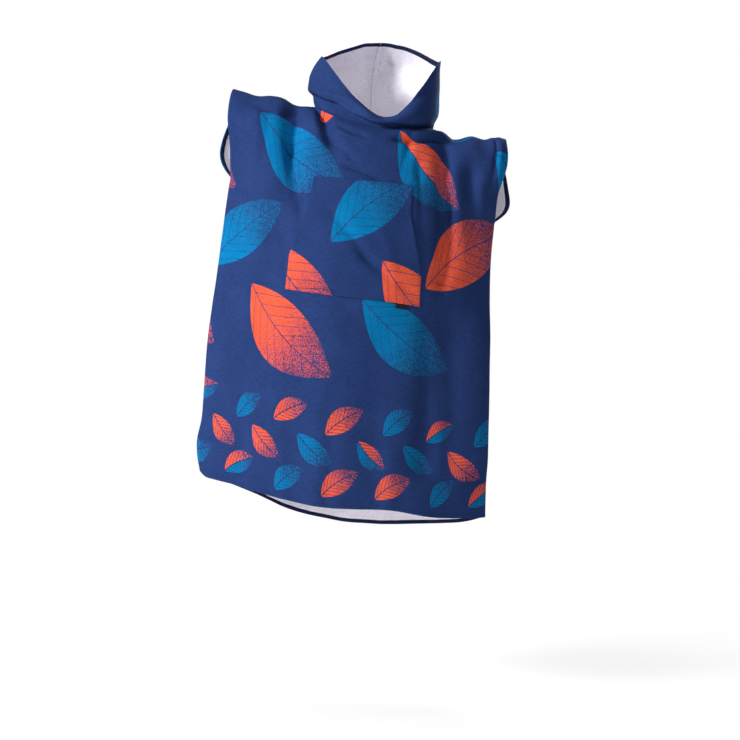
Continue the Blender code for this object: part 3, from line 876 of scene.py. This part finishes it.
# Textures: cells in a metre, how far the streaks of weft and warp are drawn out, and their shares.
PATCHES = 14
THREADS = 330
WEFT_STRETCH, WARP_STRETCH = (0.22, 1.0), (1.0, 0.3)
WEFT_SHARE, WARP_SHARE, PATCH_SHARE = 0.4, 0.3, 0.3
SHADE_RANGE = (0.38, 0.62)
FACE_SHADE, REVERSE_SHADE = 0.13, 0.07
FACE_LOOPS, REVERSE_LOOPS = 950, 620
FACE_PILE, REVERSE_PILE = 0.0004, 0.0006
PILE_STRENGTH = 0.5
BROAD_SCALE, BROAD_SHARE = 1 / 5, 1.5
SHEEN_ROUGHNESS = 0.45
SPECULAR = 0.05
GRAINS = 830
RIBBON_RIBS, RIB_STRENGTH, RIB_DEPTH, RIB_LIGHTER = 400, 0.6, 0.0003, 1.8

# The printed leaf: its soft edges in metres, then its grains, fade and side veins in shares.
LEAF_EDGE = (-0.0004, 0.0006)
RIB_EDGE = (0.0009, 0.0016)
VEIN_EDGE = (0.0006, 0.0013)
HALVES_EDGE = (-0.0001, 0.0001)
GRAIN_EDGE = (-0.02, 0.02)
FADE = (-0.45, 0.85)
FADE_IN_MIDDLE, FADE_OUTWARD = 0.68, 0.25
VEIN_SPACING = 0.21
VEIN_SLANT = 1.1


def join(tree, value, socket):
    """Links an output to a socket, or sets the socket to a number, a vector or a colour."""
    if isinstance(value, bpy.types.NodeSocket):
        tree.links.new(value, socket)
    elif isinstance(value, tuple):
        socket.default_value = (*value, 1)[:len(socket.default_value)]
    else:
        socket.default_value = value


def add_node(tree, kind, inputs=(), **settings):
    """The outputs of a new node, whose inputs are given by name or number."""
    made = tree.nodes.new(kind)
    for name, value in settings.items():
        setattr(made, name, value)
    for name, value in dict(inputs).items():
        join(tree, value, made.inputs[name])
    return made.outputs


class Shader:
    """A material's nodes, with short calls that make a node and join it."""

    def __init__(self, name, roughness, sheen=0.0, tint=SHEEN_TINT):
        self.material = bpy.data.materials.new(name)
        self.material.use_nodes = True
        self.tree = self.material.node_tree
        self.surface = self.tree.nodes["Principled BSDF"]
        self.set("Roughness", roughness)
        self.set("Sheen Weight", sheen)
        self.set("Sheen Roughness", SHEEN_ROUGHNESS)
        self.set("Sheen Tint", tint)
        self.set("Specular IOR Level", SPECULAR)

    def set(self, name, value):
        join(self.tree, value, self.surface.inputs[name])

    def node(self, kind, inputs=(), **settings):
        return add_node(self.tree, kind, inputs, **settings)

    def math(self, operation, *values):
        return self.node("ShaderNodeMath", enumerate(values), operation=operation)[0]

    def plus(self, first, second):
        return self.math("ADD", first, second)

    def times(self, first, second):
        return self.math("MULTIPLY", first, second)

    def mix(self, share, first, second):
        """Colour between two colours."""
        return self.node("ShaderNodeMix", {0: share, 6: first, 7: second}, data_type="RGBA")[2]

    def step(self, value, start, end):
        """0 below start and 1 above end, with a smooth change between them."""
        given = enumerate((value, start, end, 0.0, 1.0))
        return self.node("ShaderNodeMapRange", given, interpolation_type="SMOOTHSTEP")[0]

    def attribute(self, name, output):
        return self.node("ShaderNodeAttribute", attribute_name=name)[output]

    def parts(self, vector):
        return self.node("ShaderNodeSeparateXYZ", {0: vector})

    def cut(self):
        """Place on the flat cut, in metres."""
        return self.node("ShaderNodeUVMap", uv_map="cut")[0]

    def stretched(self, across, down):
        """Place on the flat cut, stretched so that a pattern runs along the threads."""
        given = {0: self.cut(), 1: (across, down, 1)}
        return self.node("ShaderNodeVectorMath", given, operation="MULTIPLY")[0]

    def noise(self, scale, detail, place=None):
        given = {"Vector": place or self.cut(), "Scale": scale, "Detail": detail}
        return self.node("ShaderNodeTexNoise", given)["Fac"]

    def cells(self, scale, output="Distance"):
        """Small uneven cells, such as loops of pile: distances from their middles, or a colour for each."""
        return self.node("ShaderNodeTexVoronoi", {"Vector": self.cut(), "Scale": scale})[output]

    def bump(self, height, strength, distance):
        given = {"Strength": strength, "Distance": distance, "Height": height}
        self.set("Normal", self.node("ShaderNodeBump", given)[0])

    def colour(self, value):
        self.set("Base Color", value)
        return self.material


def pile(shader, loops, depth):
    """Short soft pile: fine loops with broader unevenness under them."""
    fine = shader.cells(loops)
    broad = shader.noise(loops * BROAD_SCALE, detail=3.0)
    shader.bump(shader.plus(fine, shader.times(broad, BROAD_SHARE)), PILE_STRENGTH, depth)


def shaded(shader, colour, amount):
    """The colour, a little lighter and darker in patches, and in streaks along the two sets of threads."""
    patches = shader.noise(PATCHES, detail=4.0)
    weft = shader.noise(THREADS, detail=1.0, place=shader.stretched(*WEFT_STRETCH))
    warp = shader.noise(THREADS, detail=1.0, place=shader.stretched(*WARP_STRETCH))
    threads = shader.plus(shader.times(weft, WEFT_SHARE), shader.times(warp, WARP_SHARE))
    both = shader.plus(shader.times(patches, PATCH_SHARE), threads)
    tones = [
        shader.node("ShaderNodeHueSaturation", {"Value": value, "Color": colour})[0]
        for value in (1 - amount, 1 + amount)
    ]
    return shader.mix(shader.step(both, *SHADE_RANGE), *tones)


def printed_face():
    """Navy towelling with printed leaves that fade into grains of colour towards their tips."""
    shader = Shader("printed_towelling", roughness=0.9)
    along, aside, half_length = shader.parts(shader.attribute("leaf_place", "Vector"))
    upper, lower, half_width = shader.parts(shader.attribute("leaf_tones", "Vector"))
    inside = shader.step(shader.attribute("leaf_edge", "Fac"), *LEAF_EDGE)
    off_rib = shader.math("ABSOLUTE", aside)

    outward = shader.times(shader.math("DIVIDE", off_rib, half_width), FADE_OUTWARD)
    thinning = shader.times(shader.step(along, *FADE), shader.plus(outward, FADE_IN_MIDDLE))
    grain = shader.parts(shader.cells(GRAINS, "Color"))[0]
    inked = shader.step(shader.math("SUBTRACT", grain, thinning), *GRAIN_EDGE)

    rib = shader.step(off_rib, *RIB_EDGE)
    slanted = shader.math("SUBTRACT", shader.times(along, half_length), shader.times(off_rib, VEIN_SLANT))
    half_spacing = shader.math("DIVIDE", shader.times(half_length, VEIN_SPACING), 2.0)
    veins = shader.step(shader.math("PINGPONG", slanted, half_spacing), *VEIN_EDGE)
    covered = shader.times(shader.times(inside, inked), shader.times(rib, veins))

    halves = (shader.mix(tone, CORAL, TEAL) for tone in (upper, lower))
    tone = shader.mix(shader.step(aside, *HALVES_EDGE), *halves)
    pile(shader, FACE_LOOPS, FACE_PILE)
    return shader.colour(shaded(shader, shader.mix(covered, NAVY, tone), FACE_SHADE))


def plain_pile(name, colour, loops, depth, sheen):
    """Towelling of one colour, such as the reverse."""
    shader = Shader(name, roughness=0.92, sheen=sheen, tint=(1.0, 1.0, 1.0))
    pile(shader, loops, depth)
    return shader.colour(shaded(shader, colour, REVERSE_SHADE))


def thread(name, colour):
    return Shader(name, roughness=0.6).colour(colour)


def ribbon():
    """Bare woven ribbon: fine ribs across it."""
    shader = Shader("label_ribbon", roughness=0.6, sheen=0.05)
    given = {"Vector": shader.cut(), "Scale": RIBBON_RIBS}
    ribs = shader.node("ShaderNodeTexWave", given, wave_type="BANDS", bands_direction="Y")["Fac"]
    shader.bump(ribs, RIB_STRENGTH, RIB_DEPTH)
    return shader.colour(shader.mix(ribs, LABEL_BLACK, tuple(RIB_LIGHTER * part for part in LABEL_BLACK)))


# Stitching.


def stitch_line(cloth, start, end, lift=(CLOTH + HEM_EXTRA) / 2, slant=0.0, samples=500):
    """Middles, directions and normals of the stitches between two places, lift outside the cloth's middle.

    With a slant, an angle, the stitches turn to one side and the other by it, as a zigzag.
    """
    column, row = (np.linspace(first, last, samples) for first, last in zip(start, end))
    plain, _, _, outward = frame_at(cloth, column, row)
    points = plain + outward * (cloth.relief(plain, column, row) + lift)[:, None]
    run = np.concatenate([[0], np.cumsum(np.linalg.norm(np.diff(points, axis=0), axis=1))])
    places = np.arange(STITCH_PITCH, run[-1] - STITCH_PITCH / 2, STITCH_PITCH)
    middles, normals = (
        np.stack([np.interp(places, run, part) for part in values.T], axis=1) for values in (points, outward)
    )
    forward, normals = unit(np.gradient(middles, axis=0)), unit(normals)
    turn = (slant * (-1.0) ** np.arange(len(places)))[:, None]
    return middles, forward * np.cos(turn) + np.cross(normals, forward) * np.sin(turn), normals


def stitches(name, lines, material):
    """All the stitches of one cloth as one mesh: short threads, pointed at both ends and half sunk in."""
    middles, directions, normals = (np.concatenate(part) for part in zip(*lines))
    sides = np.cross(directions, normals)
    rings = [middles - directions * STITCH_LENGTH / 2]
    for place in (-STITCH_BELLY, STITCH_BELLY):
        for turn in np.arange(STITCH_SIDES) * 2 * math.pi / STITCH_SIDES:
            out = sides * math.cos(turn) + normals * math.sin(turn)
            rings.append(middles + directions * place * STITCH_LENGTH + out * STITCH_WIDTH / 2)
    rings.append(middles + directions * STITCH_LENGTH / 2)
    points = np.stack(rings, axis=1)
    faces = []
    count = len(rings)
    for side in range(STITCH_SIDES):
        near, near_after = 1 + side, 1 + (side + 1) % STITCH_SIDES
        far, far_after = near + STITCH_SIDES, near_after + STITCH_SIDES
        faces += [(0, near_after, near), (near, near_after, far_after, far), (far, far_after, count - 1)]
    firsts = range(0, len(points) * count, count)
    every_face = [tuple(first + corner for corner in face) for first in firsts for face in faces]
    mesh = bpy.data.meshes.new(name)
    mesh.from_pydata(points.reshape(-1, 3).tolist(), [], every_face)
    mesh.shade_smooth()
    mesh.materials.append(material)
    piece = placed(name, mesh)
    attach(piece, "root")
    return piece


# The pieces.


def underarm_row(side, edge):
    """Row at which an armhole ends and the side seam begins."""
    height = panel_height(side, WAYS[edge], FINE_ROWS)
    return float(np.interp(-UNDERARM_HEIGHT[edge], -height, FINE_ROWS))


def dressed(piece, node, slot, flat, rests_on, **more):
    """Attaches a shell to the root and hides the solid that it stands for."""
    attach(piece, "root")
    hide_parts(node)


def make_panel(cloth, materials, yarn, seams):
    side = cloth.side
    columns = mesh_lines(-1, 1, 2 * PANEL_HALF_WIDTH, PITCH_ACROSS, CUFF_HEM, CUFF_HEM)
    rows = mesh_lines(0, 1, PANEL_LENGTH, PITCH_DOWN, 0.0, BOTTOM_HEM)
    piece = shell(side + "_cloth", cloth, columns, rows, materials)
    low = 1 - (BOTTOM_HEM - STITCH_INSET) / PANEL_LENGTH
    out = 1 - (CUFF_HEM - STITCH_INSET) / PANEL_HALF_WIDTH
    lines = [stitch_line(cloth, (-1, low), (1, low))]
    for edge, way in WAYS.items():
        lines.append(stitch_line(cloth, (way * out, 0.0), (way * out, underarm_row(side, edge))))
    sewing = stitches(side + "_stitching", lines, yarn)
    flat = (2 * PANEL_HALF_WIDTH, PANEL_LENGTH + BACK_EXTRA * (side == "back"))
    other = "back_cloth" if side == "front" else "front_cloth"
    dressed(piece, side + "_panel", "printed_towelling", flat, [other], with_pieces=[sewing, *seams])


def make_hood(cloth, materials, yarn, seams):
    rows = mesh_lines(0, 1, HOOD_HEIGHT, PITCH_ACROSS, 0.0, RIM_HEM)
    rim = 1 - (RIM_HEM - STITCH_INSET) / HOOD_HEIGHT
    flat = (HOOD_ROUND, HOOD_HEIGHT)
    for name, start in (("hood_left", -math.pi), ("hood_right", 0.0)):
        end = start + math.pi
        columns = mesh_lines(start, end, HOOD_ROUND, PITCH_ACROSS)
        piece = shell(name + "_cloth", cloth, columns, rows, materials)
        lines = [stitch_line(cloth, (start + RIM_STITCH_START, rim), (end - RIM_STITCH_START, rim))]
        sewing = stitches(name + "_stitching", lines, yarn)
        more = {"area": HOOD_AREA, "with_pieces": [sewing, *seams[name]]}
        dressed(piece, name, "printed_towelling", flat, ["front_cloth", "back_cloth"], **more)


def make_pocket(materials, yarn):
    cloth = Pocket("front", PRINT_SHIFTS["pocket"])
    width = 2 * PANEL_HALF_WIDTH * POCKET_HALF_WIDTH[1]
    height = PANEL_LENGTH * (POCKET_BOTTOM - POCKET_TOP)
    columns = mesh_lines(-POCKET_COLUMN, POCKET_COLUMN, width, PITCH_ACROSS, RIM_HEM, RIM_HEM)
    rows = mesh_lines(POCKET_TOP, POCKET_BOTTOM, height, PITCH_ACROSS, RIM_HEM, RIM_HEM)
    piece = shell("pocket_cloth", cloth, columns, rows, materials)
    open_top, open_bottom = POCKET_OPENING
    ends = []
    for inset in POCKET_STITCH_INSETS:
        side = POCKET_COLUMN * (1 - 2 * inset / width)
        top, bottom = POCKET_TOP + inset / PANEL_LENGTH, POCKET_BOTTOM - inset / PANEL_LENGTH
        ends += [((-side, top), (side, top)), ((-side, bottom), (side, bottom))]
        for column in (-side, side):
            ends += [((column, top), (column, open_top)), ((column, open_bottom), (column, bottom))]
    inner = POCKET_COLUMN * (1 - 2 * (RIM_HEM - STITCH_INSET) / width)
    ends += [((column, open_top), (column, open_bottom)) for column in (-inner, inner)]
    sewing = stitches("pocket_stitching", [stitch_line(cloth, *pair) for pair in ends], yarn)
    dressed(piece, "pocket", "printed_towelling", (width, height), ["front_cloth"], with_pieces=[sewing])


def make_label(material):
    cloth = Label("front", PRINT_SHIFTS["front"])
    width = 2 * PANEL_HALF_WIDTH * LABEL_HALF_WIDTH
    columns = mesh_lines(LABEL_CENTRE - LABEL_HALF_WIDTH, LABEL_CENTRE + LABEL_HALF_WIDTH, width, PITCH_DOWN)
    rows = mesh_lines(POCKET_BOTTOM, POCKET_BOTTOM + LABEL_DROP / LENGTH, LABEL_DROP, PITCH_DOWN)
    piece = shell("label_ribbon", cloth, columns, rows, [material] * 3, thickness=LABEL_CLOTH)
    dressed(piece, "label", "woven_label", (width, LABEL_DROP), ["front_cloth"])


# The seams' turned edges, inside the garment.


def shoulder_seam(front, back, edge):
    """From the neck's corner to the cuff's hem. The front's side is the positive one."""
    run = 1 - POCKET_COLUMN - CUFF_HEM / PANEL_HALF_WIDTH

    def joined(along, aside):
        column = WAYS[edge] * (POCKET_COLUMN + run * along)
        before = creased(front, column, np.maximum(aside, 0) / PANEL_LENGTH)
        behind = creased(back, column, np.maximum(-aside, 0) / PANEL_LENGTH)
        return np.where(aside[:, None] >= 0, before, behind)

    return Allowance(WAYS[edge], run * PANEL_HALF_WIDTH, joined)


def side_seam(front, back, edge):
    """From below the underarm to the lower hem."""
    start = underarm_row("front", edge) + ALLOWANCE / PANEL_LENGTH
    run = 1 - BOTTOM_HEM / PANEL_LENGTH - start

    def joined(along, aside):
        column = WAYS[edge] * (1 - np.abs(aside) / PANEL_HALF_WIDTH)
        row = start + run * along
        return np.where(aside[:, None] >= 0, creased(front, column, row), creased(back, column, row))

    return Allowance(WAYS[edge], run * PANEL_LENGTH, joined)


def neck_seam(hood, panel):
    """Along the neck edge of one panel. The panel's side is the positive one."""

    def joined(along, aside):
        across = 2 * along - 1
        around = across * math.pi / 2
        if panel.side == "back":
            around = np.where(across < 0, -math.pi, math.pi) - around
        below = creased(panel, POCKET_COLUMN * across, np.maximum(aside, 0) / PANEL_LENGTH)
        above = creased(hood, around, np.maximum(-aside, 0) / HOOD_HEIGHT)
        return np.where(aside[:, None] >= 0, below, above)

    return Allowance(panel.facing, HOOD_ROUND, joined)


def hood_seam(hood, around):
    """Up the middle front or back of the hood, between the neck seam's strip and the rim's hem."""
    height = float(hood.height(around))
    start, end = ALLOWANCE / height, 1 - RIM_HEM / height

    def joined(along, aside):
        share = start + (end - start) * along
        row = np.interp(share * height, hood.up(around, FINE_ROWS) * height, FINE_ROWS)
        return creased(hood, around + aside / HOOD_ROUND * math.pi, row)

    return Allowance(1, (end - start) * height, joined)


def make_seam(name, seam, materials, yarn):
    """The strip of one seam, with zigzag stitches over both its edges."""
    columns = np.linspace(0, 1, max(8, round(seam.length / PITCH_DOWN)))
    half = np.array([ALLOWANCE - place for place in LIP_LINES] + [ALLOWANCE / 2])
    rows = np.concatenate([-half, [0.0], half[::-1]])
    strip = shell(name, seam, columns, rows, materials, thickness=ALLOWANCE_CLOTH)
    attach(strip, "root")
    out = ALLOWANCE - OVERLOCK_INSET
    lift = -ALLOWANCE_CLOTH / 2
    lines = [stitch_line(seam, (0, aside), (1, aside), lift, OVERLOCK_SLANT) for aside in (-out, out)]
    return [strip, stitches(name + "_overlock", lines, yarn)]


def make_seams(front, back, hood, materials, yarn):
    """All the seams' strips, by the piece that they go with."""

    def made(name, seam):
        return make_seam(name, seam, materials, yarn)

    body = []
    for edge in WAYS:
        body += made(edge + "_shoulder_seam", shoulder_seam(front, back, edge))
        body += made(edge + "_side_seam", side_seam(front, back, edge))
    return {
        "front": made("neck_seam_front", neck_seam(hood, front)),
        "back": body + made("neck_seam_back", neck_seam(hood, back)),
        "hood_left": made("hood_seam_back", hood_seam(hood, math.pi)),
        "hood_right": made("hood_seam_front", hood_seam(hood, 0.0)),
    }


# The studio.


def mix_surface(tree, share, first, second, output):
    """Mixes two shaders into an output node."""
    both = add_node(tree, "ShaderNodeMixShader", {0: share, 1: first, 2: second})[0]
    join(tree, both, tree.nodes[output].inputs["Surface"])


def make_floor():
    """Wide pale floor that looks as white as the backdrop far from the garment, but lights it no more."""
    place = (0, 0, FLOOR_HEIGHT)
    bpy.ops.mesh.primitive_circle_add(vertices=128, radius=FLOOR_RADIUS, fill_type="NGON", location=place)
    floor = bpy.context.object
    floor.name = "floor"
    shader = Shader("studio_floor", roughness=0.9)
    floor.data.materials.append(shader.colour(FLOOR_WHITE))
    place = shader.node("ShaderNodeTexCoord")["Object"]
    distance = shader.node("ShaderNodeVectorMath", {0: place}, operation="LENGTH")["Value"]
    seen = shader.node("ShaderNodeLightPath")["Is Camera Ray"]
    share = shader.times(shader.step(distance, *FLOOR_FADE), seen)
    glow = shader.node("ShaderNodeEmission")[0]
    mix_surface(shader.tree, share, shader.surface.outputs[0], glow, "Material Output")


def area_light(name, place, size, power):
    light = bpy.data.lights.new(name, "AREA")
    light.shape = "DISK"
    light.size = size
    light.energy = power
    lamp = placed(name, light)
    lamp.location = place
    lamp.rotation_euler = (Vector(LIGHT_TARGET) - Vector(place)).to_track_quat("-Z", "Y").to_euler()


def white_world():
    """White backdrop whose light on the garment is softer than it looks."""
    world = bpy.context.scene.world = bpy.data.worlds.new("studio")
    world.use_nodes = True
    tree = world.node_tree
    tree.nodes.remove(tree.nodes["Background"])
    lighting, shown = (
        add_node(tree, "ShaderNodeBackground", {"Color": (1, 1, 1), "Strength": strength})[0]
        for strength in (AMBIENT, 1.0)
    )
    seen = add_node(tree, "ShaderNodeLightPath")["Is Camera Ray"]
    mix_surface(tree, seen, lighting, shown, "World Output")


def make_studio():
    for light in LIGHTS:
        area_light(*light)
    white_world()
    bpy.context.scene.view_settings.view_transform = "Standard"
    camera = placed("camera", bpy.data.cameras.new("camera"))
    camera.data.lens = CAMERA_LENS
    camera.location = CAMERA_PLACE
    camera.rotation_euler = (math.radians(90), 0, 0)
    bpy.context.scene.camera = camera


make_studio()
make_floor()
printed = printed_face()
reverse = plain_pile("reverse_towelling", REVERSE_LILAC, REVERSE_LOOPS, REVERSE_PILE, sheen=0.05)
# Turned hems and seam strips: navy towelling with painted shade, darker than the cloth itself.
turned = plain_pile("turned_hem_painted_shade", HEM_NAVY_PAINTED_SHADE, FACE_LOOPS, FACE_PILE, sheen=0.03)
navy_thread = thread("navy_thread", THREAD_NAVY)
lilac_thread = thread("lilac_thread", THREAD_LILAC)
cloth_materials = [printed, reverse, turned]
front_cloth, back_cloth = (Panel(side, PRINT_SHIFTS[side]) for side in ("front", "back"))
hood_cloth = Hood()
# The seam strips' face uses the turned hem's navy with painted shade.
seams = make_seams(front_cloth, back_cloth, hood_cloth, [turned, reverse, reverse], lilac_thread)
make_panel(front_cloth, cloth_materials, navy_thread, seams["front"])
make_panel(back_cloth, cloth_materials, navy_thread, seams["back"])
make_hood(hood_cloth, cloth_materials, navy_thread, seams)
make_pocket(cloth_materials, navy_thread)
make_label(ribbon())
